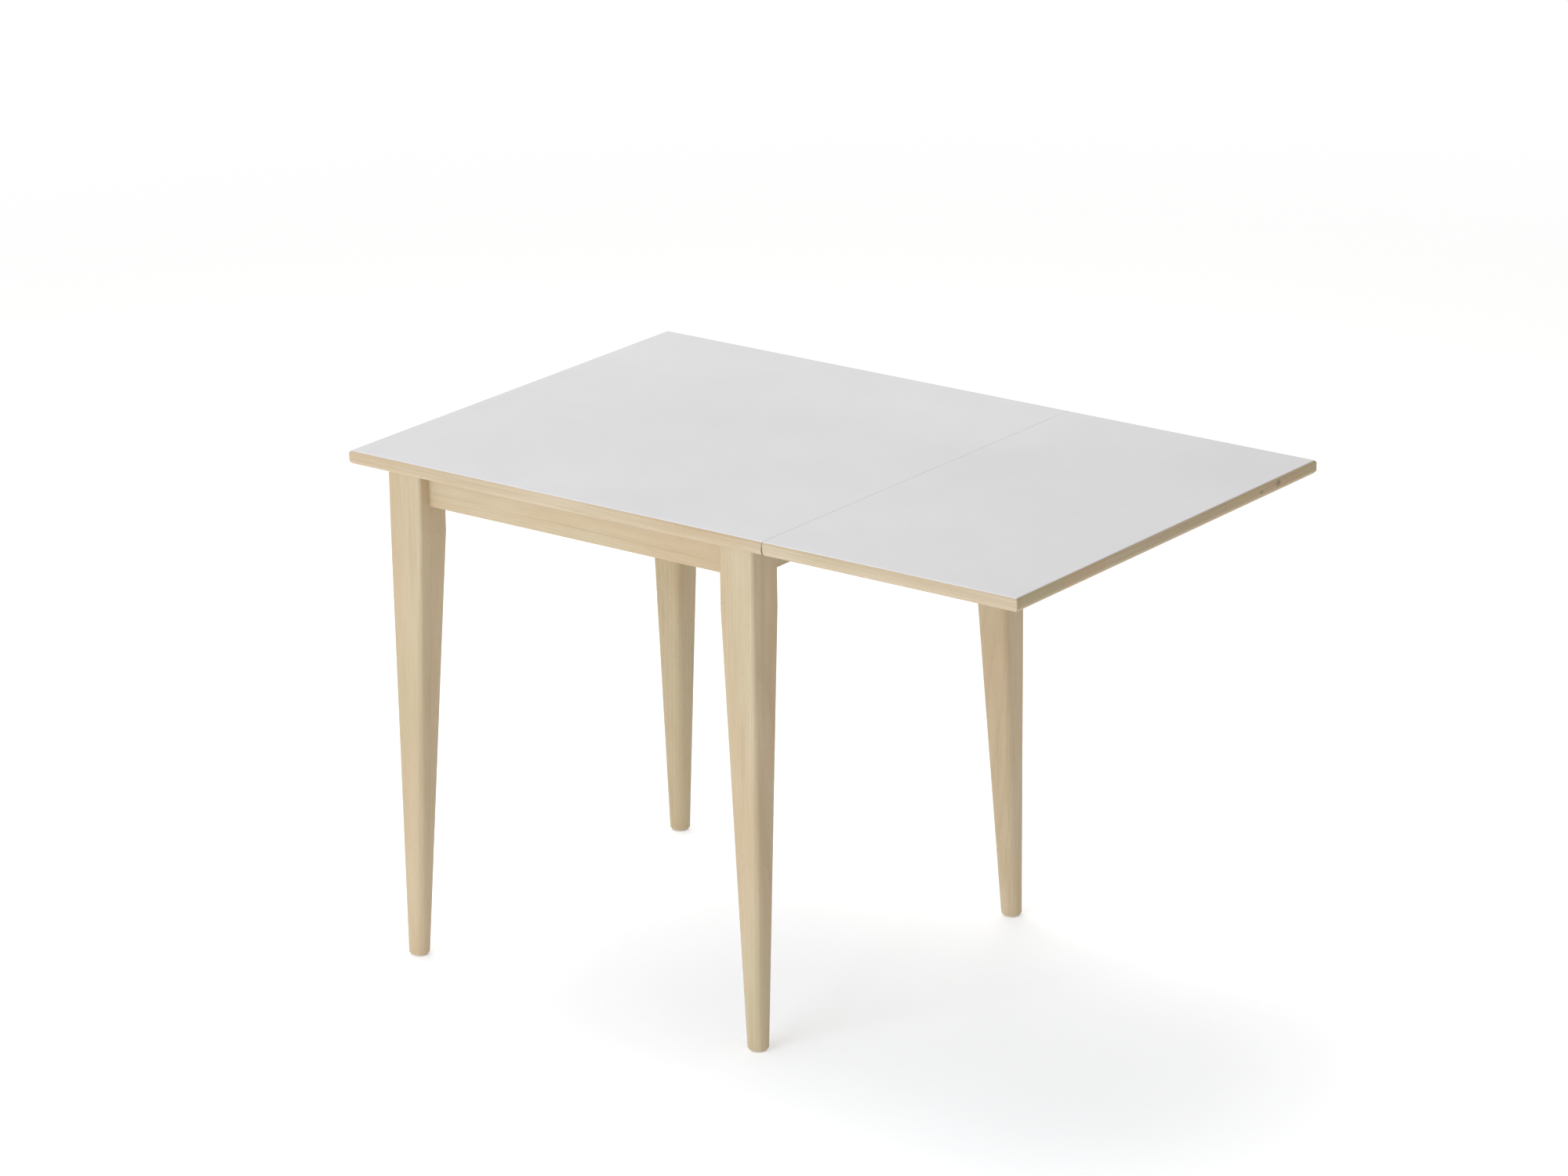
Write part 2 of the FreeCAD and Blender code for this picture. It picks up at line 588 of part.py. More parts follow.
def latch_spring(hand):
    """Torsion spring round the latch's rivet, between the base's web and the lever.

    hand is 1 in the front bracket, and -1 in the back one, whose spring winds the other way.
    """
    wire, coil = 0.4, 3.8
    turns, pitch, tail = 2.25, 0.9, 6.0
    rise = pitch / (2 * math.pi)
    first = V(0, hand * coil, rise).normalize()
    last = V(-coil, 0, rise).normalize()
    start, end = V(coil, 0, 0), V(0, hand * coil, turns * pitch)
    coils = Part.makeHelix(pitch, turns * pitch, coil, 0, hand < 0).Edges
    tip = start - first * tail
    path = [Part.makeLine(tip, start)] + coils + [Part.makeLine(end, end + last * tail)]
    ring = Part.Wire(Part.makeCircle(wire, tip, first))
    spring = Part.Solid(Part.Wire(path).makePipeShell([ring], True, False))
    across = FreeCAD.Rotation(V(-1, 0, 0), V(0, 0, hand), V(0, hand, 0), "ZXY")
    clear_of_web = 0.1 + wire + tail * first.z
    middle = V(AXIS_X + LATCH_X, hand * (BRACKET_Y + WEB + clear_of_web), AXIS_Z + LATCH_Z)
    spring.Placement = FreeCAD.Placement(middle, across)
    return spring


def make_leaf_brackets():
    origin = V(AXIS_X, BRACKET_Y, AXIS_Z)
    flange_face = AXIS_DROP - PLATE
    base = bracket_base().translated(origin)
    arm = bracket_arm().translated(origin)
    back = LEG_RIGHT_X + APRON_OUT - AXIS_X + PLATE

    base_screws, arm_screws = [], []
    into_apron = V(-1, 0, 0)
    for seat, direction, nodes in (
            (V(-50, -12, flange_face), UP, ["fixed_top_core", "fixed_top_backer"]),
            (V(-22, -12, flange_face), UP, ["fixed_top_core", "fixed_top_backer"]),
            (V(back, -12, -12), into_apron, ["apron_end"]),
            (V(back, -12, -40), into_apron, ["apron_end"])):
        hole = pilot_hole(origin + seat, direction, SHORT_SCREW)
        base_screws.append(pan_screw(origin + seat, direction, SHORT_SCREW))
        base = cut(base, [hole])
        drill(nodes, [hole, mirrored(hole)])
    for x in (40, 100, 165):
        seat = origin + V(x, PLATE_STEP + 14, flange_face)
        hole = pilot_hole(seat, UP, SHORT_SCREW)
        arm_screws.append(pan_screw(seat, UP, SHORT_SCREW))
        arm = cut(arm, [hole])
        drill(["leaf_core", "leaf_backer"], [hole, mirrored(hole)])

    stud_y = PLATE_STEP
    stud = join([
        cross_rod(STUD_X, STUD_Z, stud_y, 3 * PLATE_STEP + 1, PIVOT_RADIUS),
        cross_rod(STUD_X, STUD_Z, 3 * PLATE_STEP, 3 * PLATE_STEP + 1, 3.5),
    ]).translated(origin)
    latch = bracket_latch().translated(origin)
    arm_face = PLATE_STEP + WEB
    latch_face = 2 * PLATE_STEP + WEB
    pivot = headed_pin(0, 0, arm_face, PIVOT_RADIUS, RIVET_HEAD).translated(origin)
    rivet = headed_pin(LATCH_X, LATCH_Z, latch_face, PIVOT_RADIUS, RIVET_HEAD).translated(origin)
    single = {"base": base, "arm": arm, "latch": latch}
    for label, shape in single.items():
        parts["bracket_front_" + label] = shape
        parts["bracket_back_" + label] = mirrored(shape)
    pairs = {"pivot_pins": [pivot], "latch_rivets": [rivet],
             "arm_studs": [stud], "base_screws": base_screws, "arm_screws": arm_screws}
    for label, shapes in pairs.items():
        both = shapes + [mirrored(shape) for shape in shapes]
        parts["bracket_" + label] = Part.makeCompound(both)
    parts["bracket_latch_springs"] = Part.makeCompound([latch_spring(1), latch_spring(-1)])


# ---------------------------------------------------------------- the whole table

def main():
    for leg in LEGS:
        make_leg(*leg)
    make_aprons()
    make_dowels()
    make_corner_blocks()
    make_panel("fixed_top", LEFT_END, -1, "left")
    make_panel("leaf", RIGHT_END, 1, "right")
    make_angle_brackets()
    make_hinges()
    make_leaf_brackets()
    os.makedirs("parts", exist_ok=True)
    for name, shape in parts.items():
        shape.exportStep("parts/" + name + ".step")
        print(name, len(shape.Solids), round(shape.Volume), shape.isValid())


main()
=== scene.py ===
import bpy
import math
from mathutils import Matrix, Vector


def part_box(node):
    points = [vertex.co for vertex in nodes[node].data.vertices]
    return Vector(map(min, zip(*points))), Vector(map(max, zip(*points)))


# Looks for the drop-leaf table. Metres, in the CAD model's own frame: +X towards the leaf,
# +Y to the back, +Z up. Every shape comes from the CAD nodes; this script makes their
# materials, the floor, the lights and the camera.

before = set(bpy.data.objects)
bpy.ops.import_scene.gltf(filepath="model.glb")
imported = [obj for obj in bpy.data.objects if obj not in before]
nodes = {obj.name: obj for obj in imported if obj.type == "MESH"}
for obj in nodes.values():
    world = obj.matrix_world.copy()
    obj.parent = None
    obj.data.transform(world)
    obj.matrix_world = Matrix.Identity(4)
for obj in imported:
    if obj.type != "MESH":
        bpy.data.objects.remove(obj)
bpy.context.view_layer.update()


# ---------------------------------------------------------------- node graphs

class Graph:
    """A material's node tree, with short calls for the nodes used here."""

    def __init__(self, name):
        self.material = bpy.data.materials.new(name)
        self.material.use_nodes = True
        self.tree = self.material.node_tree
        self.shader = self.tree.nodes["Principled BSDF"]
        self.object_point = self.add("ShaderNodeTexCoord").outputs["Object"]

    def add(self, kind, **settings):
        """A new node of one kind, with its settings."""
        node = self.tree.nodes.new(kind)
        for key, value in settings.items():
            setattr(node, key, value)
        return node

    def feed(self, socket, value):
        """Links an output to a socket, or sets a plain value on it."""
        if isinstance(value, bpy.types.NodeSocket):
            self.tree.links.new(value, socket)
        else:
            socket.default_value = value

    def math(self, operation, a, b=0.0, c=0.0, clamp=False):
        """One operation on up to three values."""
        node = self.add("ShaderNodeMath", operation=operation, use_clamp=clamp)
        for socket, value in zip(node.inputs, (a, b, c)):
            self.feed(socket, value)
        return node.outputs[0]

    def place(self, point, shift=(0, 0, 0), turn=(0, 0, 0), scale=(1, 1, 1)):
        """Moves, turns and then stretches the coordinates."""
        for setting, value in (("Location", shift), ("Rotation", turn), ("Scale", scale)):
            mapping = self.add("ShaderNodeMapping", vector_type="POINT")
            self.feed(mapping.inputs["Vector"], point)
            self.feed(mapping.inputs[setting], value)
            point = mapping.outputs[0]
        return point

    def noise(self, point, scale, detail, roughness):
        """Smooth noise between 0 and 1; scale is in waves a metre."""
        node = self.add("ShaderNodeTexNoise")
        self.feed(node.inputs["Vector"], point)
        self.feed(node.inputs["Scale"], scale)
        self.feed(node.inputs["Detail"], detail)
        self.feed(node.inputs["Roughness"], roughness)
        return node.outputs["Fac"]

    def remap(self, value, span, to=(0.0, 1.0)):
        """Eases the span of a value onto another one, and holds it at both ends."""
        node = self.add("ShaderNodeMapRange", interpolation_type="SMOOTHSTEP")
        for socket, setting in zip(node.inputs[:5], (value, *span, *to)):
            self.feed(socket, setting)
        return node.outputs[0]

    def mix(self, factor, a, b):
        """Colours a and b mixed by factor; each is a plain colour or an output."""
        node = self.add("ShaderNodeMix", data_type="RGBA")
        self.feed(node.inputs["Factor"], factor)
        colours = [socket for socket in node.inputs if socket.type == "RGBA"]
        for socket, value in zip(colours, (a, b)):
            if isinstance(value, tuple):
                value = (*value, 1.0)
            self.feed(socket, value)
        return [socket for socket in node.outputs if socket.type == "RGBA"][0]

    def bump(self, height, distance, strength, normal=None):
        """Normals that follow a height, on top of other normals if there are any."""
        node = self.add("ShaderNodeBump")
        self.feed(node.inputs["Height"], height)
        self.feed(node.inputs["Distance"], distance)
        self.feed(node.inputs["Strength"], strength)
        if normal is not None:
            self.feed(node.inputs["Normal"], normal)
        return node.outputs[0]

    def soft_edges(self, radius):
        """Normals that round sharp edges off by a small radius."""
        node = self.add("ShaderNodeBevel", samples=6)
        self.feed(node.inputs["Radius"], radius)
        return node.outputs[0]

    def channels(self, colour):
        """The three channels of a colour, as plain values."""
        node = self.add("ShaderNodeSeparateColor")
        self.feed(node.inputs[0], colour)
        return node.outputs

    def cells(self, point, scale):
        """Random cells, such as chips or crystals; scale is in cells a metre."""
        node = self.add("ShaderNodeTexVoronoi", feature="F1")
        self.feed(node.inputs["Vector"], point)
        self.feed(node.inputs["Scale"], scale)
        return node

    def finish(self, **sockets):
        """Feeds the shader's sockets, named with _ for each space, and gives the material."""
        for name, value in sockets.items():
            self.feed(self.shader.inputs[name.replace("_", " ")], value)
        return self.material


# ---------------------------------------------------------------- wood

# what turns each grain direction onto the Z axis, along which the grain is drawn
GRAIN_TURN = {"X": (0, math.radians(-90), 0), "Y": (math.radians(90), 0, 0), "Z": (0, 0, 0)}

# each seed moves the pattern by a step along each axis, and starts again after the wrap
SEED_STEP = (0.37, 0.53, 0.71)
SEED_WRAP = (1.3, 1.7, 1.9)

BIRCH = {"pale": (0.605, 0.497, 0.334), "warm": (0.550, 0.410, 0.250),
         "green": (0.510, 0.435, 0.257), "streak": (0.385, 0.277, 0.143)}
# a darker copy of the birch for the back-left leg: painted shade, for the weaker light that
# reaches that leg at the back, under the table
BIRCH_SHADED = {"pale": (0.526, 0.427, 0.267), "warm": (0.478, 0.353, 0.200),
              "green": (0.444, 0.374, 0.206), "streak": (0.335, 0.238, 0.114)}
BIRCH_EDGE = {"pale": (0.625, 0.524, 0.372), "warm": (0.560, 0.424, 0.268),
              "green": (0.515, 0.445, 0.270), "streak": (0.365, 0.260, 0.137)}
INNER = {"pale": (0.660, 0.530, 0.345), "warm": (0.590, 0.440, 0.260),
         "green": (0.540, 0.450, 0.260), "streak": (0.400, 0.275, 0.145)}
KNOT = (0.130, 0.080, 0.045)

LACQUERED = 0.52
SAWN = 0.70

BOARD_SWAY = 0.030
RINGS = {"Scale": 62.0, "Distortion": 3.5, "Detail": 2.0, "Detail Scale": 0.35}
RINGS_DRAWN_OUT = 0.12

# the length of the staves that a lipping is finger-jointed from, how much of each tint one
# can take, and how far the glue line reaches to each side of a joint
STAVE_LENGTH = 0.094
STAVE_TINTS = {"warm": 0.90, "green": 0.75, "streak": 0.12}
GLUE_LINE = 0.0006

# knots are this much longer along the edge than across it
KNOT_FLATTENING = 0.6


def strands(g, along, across, lengthwise, detail, roughness, shift=(0, 0, 0)):
    """Noise drawn out along the grain, with its waves a metre across the grain and along it."""
    stretched = g.place(along, shift, scale=(across, across, lengthwise))
    return g.noise(stretched, 1.0, detail, roughness)


def bend_grain(g, straight):
    """The grain's own coordinates, which wander a little from side to side, as fibres do."""
    drift = strands(g, straight, across=7, lengthwise=1.1, detail=2.0, roughness=0.45)
    sway = g.math("MULTIPLY_ADD", drift, BOARD_SWAY, -BOARD_SWAY / 2)
    parts = g.add("ShaderNodeSeparateXYZ")
    g.feed(parts.inputs[0], straight)
    bent = g.add("ShaderNodeCombineXYZ")
    g.feed(bent.inputs[0], g.math("ADD", parts.outputs[0], sway))
    g.feed(bent.inputs[1], g.math("SUBTRACT", parts.outputs[1], sway))
    g.feed(bent.inputs[2], parts.outputs[2])
    return bent.outputs[0], parts.outputs[2]


def late_wood(g, along):
    """The darker late wood at the outside of each growth ring."""
    rings = g.add("ShaderNodeTexWave", wave_type="RINGS", rings_direction="Z", wave_profile="SAW")
    g.feed(rings.inputs["Vector"], g.place(along, scale=(1, 1, RINGS_DRAWN_OUT)))
    for name, value in RINGS.items():
        g.feed(rings.inputs[name], value)
    return g.remap(rings.outputs["Fac"], (0.55, 1.0))


def colour_wood(g, along, palette, late, fibres, flecks):
    """Pale wood that drifts to warm and green, with darker rings, streaks, fibres and flecks."""
    cloud = strands(g, along, across=16, lengthwise=3.2, detail=3.0, roughness=0.5)
    greenish = strands(g, along, across=12, lengthwise=2.4, detail=2.0, roughness=0.5,
                       shift=(0.4, 0.9, 0.2))
    colour = g.mix(g.remap(cloud, (0.30, 0.72)), palette["pale"], palette["warm"])
    colour = g.mix(g.remap(greenish, (0.48, 0.75), to=(0.0, 0.55)), colour, palette["green"])

    streaks = strands(g, along, across=95, lengthwise=2.6, detail=3.0, roughness=0.55)
    fine = strands(g, along, across=1900, lengthwise=55, detail=2.0, roughness=0.5)
    darker_marks = (
        g.math("MULTIPLY", late, 0.16),
        g.remap(streaks, (0.50, 0.80), to=(0.0, 0.30)),
        g.remap(fibres, (0.35, 0.75), to=(0.0, 0.17)),
        g.remap(fine, (0.30, 0.60), to=(0.14, 0.0)),
        g.math("MULTIPLY", flecks, 0.35),
    )
    for mark in darker_marks:
        colour = g.mix(mark, colour, palette["streak"])
    return colour


def lay_staves(g, colour, lengthwise, seed, palette):
    """Gives each stave its own tone, and a thin darker glue line at its ends."""
    count = g.math("DIVIDE", lengthwise, STAVE_LENGTH)
    tone = g.add("ShaderNodeTexWhiteNoise", noise_dimensions="1D")
    g.feed(tone.inputs["W"], g.math("ADD", g.math("FLOOR", count), float(seed)))
    for channel, (tint, most) in zip(g.channels(tone.outputs["Color"]), STAVE_TINTS.items()):
        colour = g.mix(g.remap(channel, (0.3, 0.9), to=(0.0, most)), colour, palette[tint])
    from_middle = g.math("ABSOLUTE", g.math("SUBTRACT", g.math("FRACT", count), 0.5))
    line = g.remap(from_middle, (0.5 - GLUE_LINE / STAVE_LENGTH, 0.5), to=(0.0, 0.30))
    return g.mix(line, colour, palette["streak"])


def stain_knots(g, colour, knots):
    """Soft brown stains with ragged rims, at points on the surface."""
    for centre, radius in knots:
        gap = g.add("ShaderNodeVectorMath", operation="DISTANCE")
        g.feed(gap.inputs[0], g.place(g.object_point, scale=(1, KNOT_FLATTENING, 1)))
        g.feed(gap.inputs[1], (centre[0], KNOT_FLATTENING * centre[1], centre[2]))
        smear = g.noise(g.object_point, scale=170.0, detail=2.0, roughness=0.5)
        ragged = g.math("MULTIPLY_ADD", smear, 2.6 * radius, gap.outputs["Value"])
        stain = g.remap(ragged, (2.9 * radius, 1.4 * radius), to=(0.0, 0.55))
        colour = g.mix(stain, colour, KNOT)
    return colour


def make_wood(name, grain, seed, palette, roughness=LACQUERED, in_staves=False, knots=()):
    """Whitewashed birch: growth rings, long fibres, short flecks and a slow drift of tone.

    grain is the axis that it runs along. knots are points on the surface, each with its radius.
    """
    g = Graph(name)
    shift = tuple(step * seed % wrap for step, wrap in zip(SEED_STEP, SEED_WRAP))
    straight = g.place(g.object_point, shift, GRAIN_TURN[grain])
    along, lengthwise = bend_grain(g, straight)
    late = late_wood(g, along)
    fibres = strands(g, along, across=620, lengthwise=11, detail=4.0, roughness=0.62)
    flecks = strands(g, along, across=850, lengthwise=120, detail=1.0, roughness=0.4)
    flecks = g.remap(flecks, (0.66, 0.78))

    colour = colour_wood(g, along, palette, late, fibres, flecks)
    if in_staves:
        colour = lay_staves(g, colour, lengthwise, seed, palette)
    colour = stain_knots(g, colour, knots)

    # fibres and late wood stand proud, and flecks are small pits
    relief = g.math("ADD", g.math("MULTIPLY", fibres, 0.6), g.math("MULTIPLY", late, 0.25))
    relief = g.math("SUBTRACT", relief, g.math("MULTIPLY", flecks, 0.5))
    normal = g.bump(relief, distance=0.00012, strength=0.55, normal=g.soft_edges(0.0009))
    sheen = g.remap(fibres, (0.3, 0.8), to=(roughness - 0.05, roughness + 0.09))
    return g.finish(Base_Color=colour, Roughness=sheen, Normal=normal,
                    Specular_IOR_Level=0.42, Coat_Weight=0.10, Coat_Roughness=0.45)


# ---------------------------------------------------------------- laminate and board

LAMINATE_CLOUD = ((0.692, 0.706, 0.756), (0.724, 0.737, 0.784))
LAMINATE_SPECK = (0.56, 0.56, 0.58)
BACKER_BLOTCH = ((0.630, 0.621, 0.597), (0.655, 0.647, 0.624))
BACKER_FIBRE = (0.46, 0.44, 0.40)
CHIP_TONES = ((0.52, 0.39, 0.24), (0.68, 0.55, 0.37))
CHIP_DUST = (0.36, 0.25, 0.14)

# the two slants, in degrees, of the rub marks on the laminate
RUB_SLANTS = (24, -52)


def rub_marks(g):
    """Fine marks in two slanting directions, in the patches where a table is used most."""
    rubs = []
    for slant in RUB_SLANTS:
        stretched = g.place(g.object_point, turn=(0, 0, math.radians(slant)), scale=(5, 260, 1))
        marks = g.noise(stretched, scale=1.0, detail=3.0, roughness=0.6)
        rubs.append(g.remap(marks, (0.62, 0.74)))
    worn = g.remap(g.noise(g.object_point, scale=5.0, detail=2.0, roughness=0.5), (0.45, 0.70))
    return g.math("MULTIPLY", g.math("MAXIMUM", rubs[0], rubs[1]), worn)


def make_laminate():
    """Pale grey satin laminate: a very fine pebbled skin, faint cloudiness and rubbed patches."""
    g = Graph("laminate_satin")
    point = g.object_point
    cloud = g.noise(g.place(point, scale=(1, 1, 0.2)), scale=3.2, detail=3.0, roughness=0.5)
    speck = g.noise(point, scale=900.0, detail=2.0, roughness=0.6)
    colour = g.mix(g.remap(cloud, (0.3, 0.7)), *LAMINATE_CLOUD)
    colour = g.mix(g.remap(speck, (0.40, 0.75), to=(0.0, 0.10)), colour, LAMINATE_SPECK)

    pebble = g.noise(point, scale=1400.0, detail=3.0, roughness=0.55)
    swell = g.noise(point, scale=26.0, detail=2.0, roughness=0.5)
    normal = g.bump(pebble, distance=0.00004, strength=0.35, normal=g.soft_edges(0.0004))
    normal = g.bump(swell, distance=0.0004, strength=0.06, normal=normal)

    rough = g.remap(swell, (0.2, 0.8), to=(0.30, 0.37))
    rough = g.math("ADD", rough, g.math("MULTIPLY", rub_marks(g), 0.07))
    return g.finish(Base_Color=colour, Roughness=rough, Normal=normal, Specular_IOR_Level=0.5)


def make_backer():
    """Matt balancing sheet under the tops: greyish paper with a faint fibre."""
    g = Graph("backing_sheet")
    stretched = g.place(g.object_point, scale=(210, 900, 210))
    fibre = g.noise(stretched, scale=1.0, detail=4.0, roughness=0.65)
    blotch = g.noise(g.object_point, scale=14.0, detail=3.0, roughness=0.5)
    colour = g.mix(g.remap(blotch, (0.3, 0.7)), *BACKER_BLOTCH)
    colour = g.mix(g.remap(fibre, (0.50, 0.75), to=(0.0, 0.25)), colour, BACKER_FIBRE)
    normal = g.bump(fibre, distance=0.00006, strength=0.5)
    rough = g.remap(blotch, (0.3, 0.7), to=(0.62, 0.72))
    return g.finish(Base_Color=colour, Roughness=rough, Normal=normal)


def make_board():
    """Raw particle board: chips of mixed size and tone."""
    g = Graph("particle_board")
    chips = g.cells(g.place(g.object_point, scale=(1, 1, 2.2)), scale=340.0)
    dust = g.noise(g.object_point, scale=1500.0, detail=3.0, roughness=0.6)
    colour = g.mix(g.channels(chips.outputs["Color"])[0], *CHIP_TONES)
    colour = g.mix(g.remap(dust, (0.5, 0.8), to=(0.0, 0.4)), colour, CHIP_DUST)
    normal = g.bump(chips.outputs["Distance"], distance=0.0003, strength=0.5)
    rough = g.remap(dust, (0.3, 0.8), to=(0.78, 0.90))
    return g.finish(Base_Color=colour, Roughness=rough, Normal=normal)


# ---------------------------------------------------------------- metal and plastic

ZINC = ((0.70, 0.71, 0.73), (0.54, 0.55, 0.58))
SPRING_STEEL = ((0.26, 0.26, 0.28), (0.12, 0.12, 0.13))
NYLON = ((0.56, 0.49, 0.38), (0.64, 0.57, 0.46))
NYLON_RUBBED = (0.36, 0.32, 0.26)


def make_steel(name, light, dark, roughness):
    """Plated steel: a fine spangle, drawn lines and a thin dulling film."""
    g = Graph(name)
    point = g.object_point
    spangle = g.channels(g.cells(point, scale=420.0).outputs["Color"])[0]
    film = g.noise(point, scale=45.0, detail=4.0, roughness=0.6)
    drawn = g.noise(g.place(point, scale=(1, 26, 1)), scale=160.0, detail=3.0, roughness=0.6)
    colour = g.mix(g.remap(film, (0.35, 0.70), to=(0.0, 0.7)), light, dark)
    colour = g.mix(g.math("MULTIPLY", spangle, 0.18), colour, dark)
    rough = g.math("MULTIPLY_ADD", spangle, 0.08, roughness)
    rough = g.math("ADD", rough, g.remap(film, (0.4, 0.8), to=(0.0, 0.12)))
    normal = g.bump(drawn, distance=0.00003, strength=0.5, normal=g.soft_edges(0.0003))
    return g.finish(Base_Color=colour, Metallic=1.0, Roughness=rough, Normal=normal)


def make_glide():
    """Natural nylon glide: milky, rubbed matt where it slides."""
    g = Graph("glide_nylon")
    haze = g.noise(g.object_point, scale=220.0, detail=3.0, roughness=0.55)
    stretched = g.place(g.object_point, scale=(30, 700, 1))
    rub = g.noise(stretched, scale=1.0, detail=3.0, roughness=0.6)
    colour = g.mix(g.remap(haze, (0.3, 0.7)), *NYLON)
    colour = g.mix(g.remap(rub, (0.6, 0.8), to=(0.0, 0.4)), colour, NYLON_RUBBED)
    normal = g.bump(rub, distance=0.00005, strength=0.5)
    rough = g.remap(rub, (0.4, 0.8), to=(0.42, 0.62))
    return g.finish(Base_Color=colour, Roughness=rough, Normal=normal)


# ---------------------------------------------------------------- materials onto nodes

LIPPING_GRAIN = {"front": "X", "back": "X", "left": "Y", "right": "Y", "seam": "Y"}
STAVED_LIPPINGS = ("left", "right")
APRON_GRAIN = {"front": "X", "back": "X", "left": "Y", "end": "Y"}
DOWEL_SEED = 5

# two small knots near the back end of the leaf's outer lipping
LEAF_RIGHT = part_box("leaf_lipping_right")[1][0]
LEAF_KNOTS = (((LEAF_RIGHT, 0.213, 0.731), 0.0022), ((LEAF_RIGHT, 0.256, 0.733), 0.0040))


def wood_for(name, seed):
    """The material of a wooden piece, or None for a piece of something else."""
    last = name.split("_")[-1]
    if name.startswith("leg_"):
        # the back-left leg takes the darker copy of the birch, as painted shade
        palette = BIRCH_SHADED if name == "leg_back_left" else BIRCH
        return make_wood("birch_" + name, "Z", seed, palette)
    if "_lipping_" in name:
        knots = LEAF_KNOTS if name == "leaf_lipping_right" else ()
        return make_wood("birch_" + name, LIPPING_GRAIN[last], seed, BIRCH_EDGE,
                         in_staves=last in STAVED_LIPPINGS, knots=knots)
    if name.startswith("apron_") and last in APRON_GRAIN:
        return make_wood("birch_" + name, APRON_GRAIN[last], seed, BIRCH)
    if name.startswith("corner_block_") and last != "screws":
        return make_wood("block_" + name, "Z", seed, INNER, roughness=SAWN)
    return None


def dress_nodes():
    """Gives every CAD node its material: wood of its own, or one that such pieces share."""
    shared = {
        "laminate": make_laminate(),
        "backer": make_backer(),
        "core": make_board(),
        "dowels": make_wood("dowel_beech", "X", DOWEL_SEED, INNER),
        "springs": make_steel("spring_steel", *SPRING_STEEL, roughness=0.34),
    }
    glide = make_glide()
    zinc = make_steel("zinc_plated_steel", *ZINC, roughness=0.30)
    for seed, name in enumerate(sorted(nodes)):
        other = glide if name.startswith("foot_glide") else zinc
        material = wood_for(name, seed) or shared.get(name.split("_")[-1], other)
        node = nodes[name]
        node.data.materials.clear()
        node.data.materials.append(material)


# ---------------------------------------------------------------- floor, light, camera

FLOOR_RADIUS = 9.0
# the floor is solid within the first part of its radius, and gone from the second one on
FLOOR_FADE = (0.22 * FLOOR_RADIUS, 0.55 * FLOOR_RADIUS)
FLOOR_TONES = ((0.860, 0.865, 0.875), (0.880, 0.885, 0.895))
FLOOR_GLOW = (0.95, 0.985, 1.04, 1.0)
FLOOR_GLOW_STRENGTH = 0.38

WHITE = (1.0, 1.0, 1.0, 1.0)
FILL_COLOUR = (1.0, 0.94, 0.85, 1.0)
# where the fill light is strongest, and its strength from the far side and from there
FILL_FROM = (-0.55, -0.75, 0.37)
FILL_STRENGTH = (0.26, 0.60)

LIT_POINT = (0.0, 0.0, 0.4)

CAMERA_AZIMUTH = 37.21
CAMERA_ELEVATION = 18.68
CAMERA_ROLL = -0.85
CAMERA_PLACE = (4.6102, -6.1774, 3.1585)
CAMERA_LENS = 138.1
CAMERA_SENSOR = 36.0
CAMERA_REACH = 100.0


def make_floor():
    """A wide, pale disc that fades into the white of the studio, and is clear from below."""
    g = Graph("studio_floor")
    distance = g.add("ShaderNodeVectorMath", operation="LENGTH")
    g.feed(distance.inputs[0], g.object_point)
    grain = g.noise(g.object_point, scale=60.0, detail=3.0, roughness=0.5)
    colour = g.mix(g.remap(grain, (0.3, 0.7)), *FLOOR_TONES)
    solid = g.remap(distance.outputs["Value"], FLOOR_FADE, to=(1.0, 0.0))
    below = g.add("ShaderNodeNewGeometry").outputs["Backfacing"]
    g.finish(Base_Color=colour, Roughness=0.75,
             Alpha=g.math("SUBTRACT", solid, below, clamp=True),
             Emission_Color=FLOOR_GLOW, Emission_Strength=FLOOR_GLOW_STRENGTH)
    bpy.ops.mesh.primitive_circle_add(vertices=96, radius=FLOOR_RADIUS, fill_type="NGON")
    floor = bpy.context.object
    floor.name = "floor"
    floor.data.materials.append(g.material)


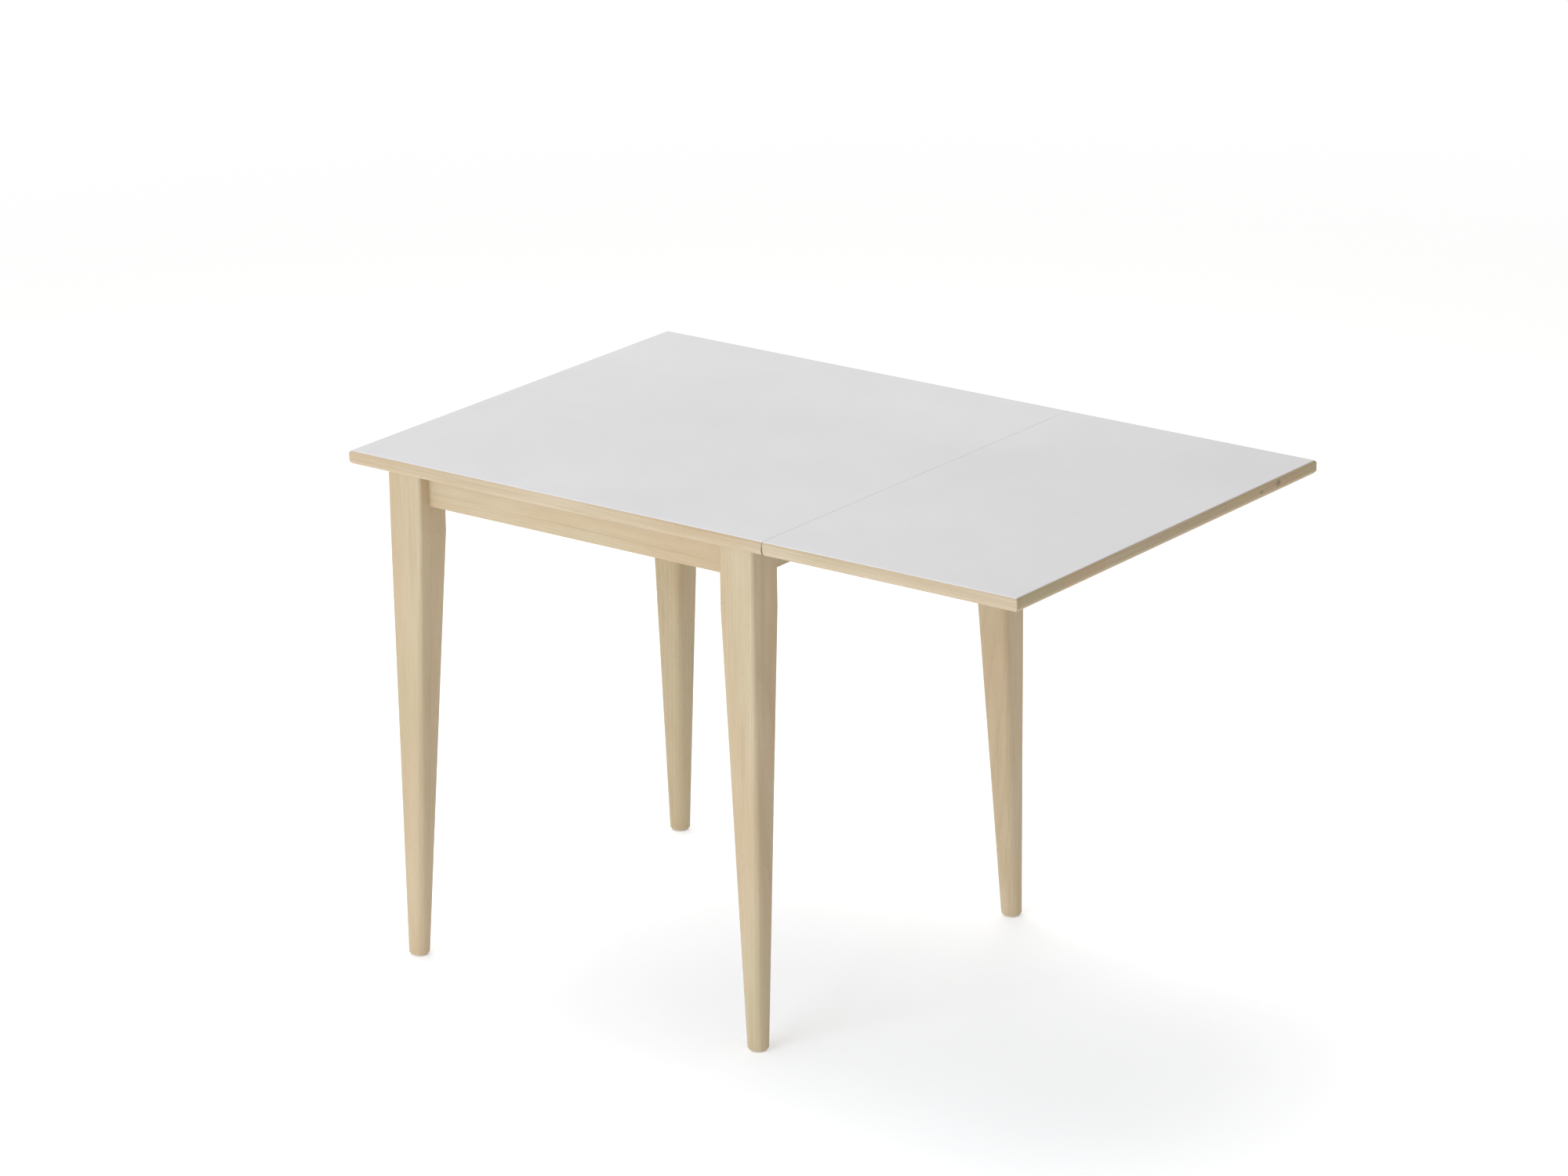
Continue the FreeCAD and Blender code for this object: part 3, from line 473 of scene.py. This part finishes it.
def make_world():
    """A soft warm fill from all round, and plain white where the camera sees past the table."""
    world = bpy.data.worlds.new("studio")
    bpy.context.scene.world = world
    world.use_nodes = True
    tree = world.node_tree
    fill = tree.nodes["Background"]
    fill.inputs["Color"].default_value = FILL_COLOUR
    direction = tree.nodes.new("ShaderNodeTexCoord").outputs["Generated"]
    facing = tree.nodes.new("ShaderNodeVectorMath")
    facing.operation = "DOT_PRODUCT"
    facing.inputs[1].default_value = Vector(FILL_FROM).normalized()
    fade = tree.nodes.new("ShaderNodeMapRange")
    for socket, setting in zip(fade.inputs[1:5], (-1.0, 1.0, *FILL_STRENGTH)):
        socket.default_value = setting
    tree.links.new(direction, facing.inputs[0])
    tree.links.new(facing.outputs["Value"], fade.inputs[0])
    tree.links.new(fade.outputs[0], fill.inputs["Strength"])
    seen = tree.nodes.new("ShaderNodeBackground")
    seen.inputs["Strength"].default_value = 1.0
    seen.inputs["Color"].default_value = WHITE
    path = tree.nodes.new("ShaderNodeLightPath")
    both = tree.nodes.new("ShaderNodeMixShader")
    tree.links.new(path.outputs["Is Camera Ray"], both.inputs[0])
    tree.links.new(fill.outputs[0], both.inputs[1])
    tree.links.new(seen.outputs[0], both.inputs[2])
    tree.links.new(both.outputs[0], tree.nodes["World Output"].inputs[0])


def add_softbox(name, position, size, power, colour):
    """A square light of one size, turned towards the table."""
    light = bpy.data.lights.new(name, "AREA")
    light.shape = "SQUARE"
    light.size = size
    light.energy = power
    light.color = colour
    softbox = bpy.data.objects.new(name, light)
    bpy.context.scene.collection.objects.link(softbox)
    softbox.location = position
    softbox.rotation_mode = "QUATERNION"
    aim = Vector(LIT_POINT) - Vector(position)
    softbox.rotation_quaternion = aim.to_track_quat("-Z", "Y")


def make_lights():
    """A cool key light low in front, and a large neutral one overhead."""
    add_softbox("key", (-0.35, -3.7, 1.35), size=2.5, power=72.0, colour=(0.77, 0.875, 1.03))
    add_softbox("overhead", (-1.1, 0.7, 4.2), size=3.0, power=98.0, colour=(1.0, 0.985, 0.955))


def make_camera():
    """The camera at the photograph's viewing angle, which leans a little to one side."""
    azimuth, elevation, roll = map(math.radians, (CAMERA_AZIMUTH, CAMERA_ELEVATION, CAMERA_ROLL))
    forward = Vector((-math.sin(azimuth) * math.cos(elevation),
                      math.cos(azimuth) * math.cos(elevation), -math.sin(elevation)))
    level = Vector((math.cos(azimuth), math.sin(azimuth), 0.0))
    upright = level.cross(forward)
    right = level * math.cos(roll) + upright * math.sin(roll)
    up = upright * math.cos(roll) - level * math.sin(roll)
    data = bpy.data.cameras.new("camera")
    data.lens = CAMERA_LENS
    data.sensor_width = CAMERA_SENSOR
    data.clip_end = CAMERA_REACH
    camera = bpy.data.objects.new("camera", data)
    bpy.context.scene.collection.objects.link(camera)
    camera.rotation_mode = "QUATERNION"
    camera.rotation_quaternion = Matrix((right, up, -forward)).transposed().to_quaternion()
    camera.location = CAMERA_PLACE
    bpy.context.scene.camera = camera


dress_nodes()
make_floor()
make_world()
make_lights()
make_camera()
bpy.context.scene.view_settings.view_transform = "Standard"
